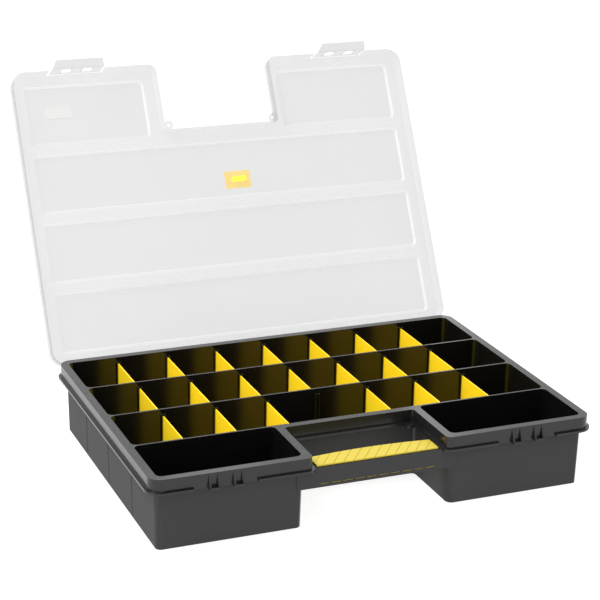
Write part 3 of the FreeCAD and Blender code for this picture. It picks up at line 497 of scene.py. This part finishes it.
crownSizes = {"halfWidth": 0.62 * mm, "halfDepth": 1.25 * mm, "rise": 0.6 * mm, "top": 67.5 * mm,
              "slotSpacing": 54.375 * mm, "slotWidth": 1.9 * mm, "ribHalf": 0.6 * mm, "fromWall": 1.2 * mm,
              "backWall": 148.5 * mm, "partitionHalf": 1.0 * mm, "zone": 0.3}


def crownTree():
    tree, given = geometryTree("ribCrowns", {"Size": "Vector", "Plastic": "Material"})
    ball = addNode(tree, "GeometryNodeMeshUVSphere", None, {
        "Segments": 10, "Rings": 6, "Radius": 1.0}).outputs[0]
    caps = addNode(tree, "GeometryNodeInstanceOnPoints", None, {
        "Points": given["Geometry"], "Instance": ball, "Scale": given["Size"]}).outputs[0]
    return closeTree(tree, caps, given["Plastic"])


def ribTops():  # each wall's face, and the way its ribs point
    spacing, half = traySizes["partitionSpacing"], crownSizes["partitionHalf"]
    walls = [(crownSizes["backWall"], -1), (spacing + half, 1), (spacing - half, -1),
             (half, 1), (-half, -1), (half - spacing, 1)]
    aside = crownSizes["slotWidth"] / 2 + crownSizes["ribHalf"]
    spots = []
    for wall, facing in walls:
        for slot in range(-3, 4):
            for side in (-1, 1):
                x = slot * crownSizes["slotSpacing"] + side * aside
                spots.append((x, wall + facing * crownSizes["fromWall"], crownSizes["top"]))
    return spots


crownMesh = bpy.data.meshes.new("ribTops")
crownMesh.from_pydata(ribTops(), [], [])
crowns = grow("ribCrowns", crownTree(), {
    "Size": (crownSizes["halfWidth"], crownSizes["halfDepth"], crownSizes["rise"]),
    "Plastic": finishes["black_plastic"]}, crownMesh)
crowns = settle(crowns)
# the crowns' zone lightens their black part of the way to the outer walls' colour: a painted highlight
dress(markZones(crowns, lambda face: crownSizes["zone"]), "tray", "black_plastic")
print("rib crowns made:", len(crowns.data.polygons), "faces")


# Tray's side walls: upright moulding ridges in line with the partitions

ridgeSizes = {"width": 0.6 * mm, "thickness": 0.5 * mm, "low": 2 * mm, "high": 56 * mm, "count": 3,
              "castFrom": 0.3, "zone": 1.0}  # half of the thickness stands proud of the wall


def ridgeTree():
    tree, given = geometryTree("wallRidges", {
        "Count": "Int", "First": "Vector", "Step": "Vector", "Size": "Vector", "Lean": "Vector",
        "Plastic": "Material"})
    row = addNode(tree, "GeometryNodeMeshLine", {"mode": "OFFSET"}, {
        "Count": given["Count"], "Start Location": given["First"], "Offset": given["Step"]}).outputs[0]
    bar = addNode(tree, "GeometryNodeMeshCube", None, {"Size": given["Size"]}).outputs[0]
    bars = addNode(tree, "GeometryNodeInstanceOnPoints", None, {
        "Points": row, "Instance": bar, "Rotation": given["Lean"]}).outputs[0]
    return closeTree(tree, bars, given["Plastic"])


bpy.context.view_layer.update()
for side, label in ((-1, "left"), (1, "right")):
    start = side * ridgeSizes["castFrom"]
    foot, head = (tray.ray_cast((start, 0.0, ridgeSizes[end]), (-side, 0.0, 0.0))[1]
                  for end in ("low", "high"))
    middle = (foot + head) / 2
    ridges = grow("wallRidges_" + label, ridgeTree(), {
        "Count": ridgeSizes["count"], "First": middle - Vector((0, traySizes["partitionSpacing"], 0)),
        "Step": (0, traySizes["partitionSpacing"], 0),
        "Size": (ridgeSizes["thickness"], ridgeSizes["width"], (head - foot).length),
        "Lean": (0, math.atan2(head.x - foot.x, head.z - foot.z), 0), "Plastic": finishes["black_plastic"]})
    # zone 1 gives the ridges the outer walls' lighter black, the painted reflection
    dress(markZones(settle(ridges), lambda face: ridgeSizes["zone"]), "tray", "black_plastic")
print("wall ridges made")


# Floor, lights, camera

studio = {"skyStrength": 1.0, "floorGlow": 0.85, "floorReach": 9, "floorLevel": -0.4 * mm,
          "keyWatts": 34.0, "keySize": 1.0, "keyPlace": (-1.3, 0.2, 2.0),
          "backWatts": 15.0, "backSize": 2.6, "backPlace": (0.2, 2.6, 1.0), "aim": (0, 0, 0.07)}
floorMesh = bpy.data.meshes.new("floor")
corners = [(x * studio["floorReach"], y * studio["floorReach"], studio["floorLevel"])
           for x, y in ((-1, -1), (1, -1), (1, 1), (-1, 1))]
floorMesh.from_pydata(corners, [], [(0, 1, 2, 3)])
floor = bpy.data.objects.new("floor", floorMesh)
bpy.context.scene.collection.objects.link(floor)
pale = Finish("paleFloor", Roughness=0.9)
soft = pale.noise(2, 2)
pale.feed(Base_Color=pale.mix(soft, (0.29, 0.29, 0.29, 1), (0.32, 0.32, 0.32, 1)))
pale.shader.inputs["Emission Color"].default_value = (1, 1, 1, 1)
pale.shader.inputs["Emission Strength"].default_value = studio["floorGlow"]
floorMesh.materials.append(pale.material)

world = bpy.data.worlds.new("studio")
bpy.context.scene.world = world
world.use_nodes = True
world.node_tree.nodes["Background"].inputs["Color"].default_value = (1, 1, 1, 1)
world.node_tree.nodes["Background"].inputs["Strength"].default_value = studio["skyStrength"]


def softLight(name, watts, size, place, target):
    light = bpy.data.lights.new(name, "AREA")
    light.energy = watts
    light.shape = "DISK"
    light.size = size
    thing = bpy.data.objects.new(name, light)
    thing.location = place
    thing.rotation_euler = (Vector(target) - Vector(place)).to_track_quat("-Z", "Y").to_euler()
    bpy.context.scene.collection.objects.link(thing)


softLight("keyLight", studio["keyWatts"], studio["keySize"], studio["keyPlace"], studio["aim"])
softLight("backLight", studio["backWatts"], studio["backSize"], studio["backPlace"], studio["aim"])
bpy.context.scene.view_settings.view_transform = "Standard"

view = {"azimuth": -21.818, "elevation": 19.122, "roll": 0.958, "lens": 109.74,
        "place": (-0.6785, -1.5708, 0.7628), "shift": (0.0458, -0.0060)}


def aimCamera():
    azimuth, elevation, roll = (math.radians(view[key]) for key in ("azimuth", "elevation", "roll"))
    back = Vector((math.sin(azimuth) * math.cos(elevation), -math.cos(azimuth) * math.cos(elevation),
                   math.sin(elevation)))
    across = Vector((0, 0, 1)).cross(back).normalized()
    up = back.cross(across)
    right = across * math.cos(roll) + up * math.sin(roll)
    top = up * math.cos(roll) - across * math.sin(roll)
    camera = bpy.data.cameras.new("camera")
    camera.lens = view["lens"]
    camera.sensor_width = 36
    camera.shift_x, camera.shift_y = view["shift"]
    thing = bpy.data.objects.new("camera", camera)
    turn = Matrix((right, top, back)).transposed().to_4x4()
    thing.matrix_world = Matrix.Translation(Vector(view["place"])) @ turn
    bpy.context.scene.collection.objects.link(thing)
    bpy.context.scene.camera = thing


aimCamera()
print("studio set")
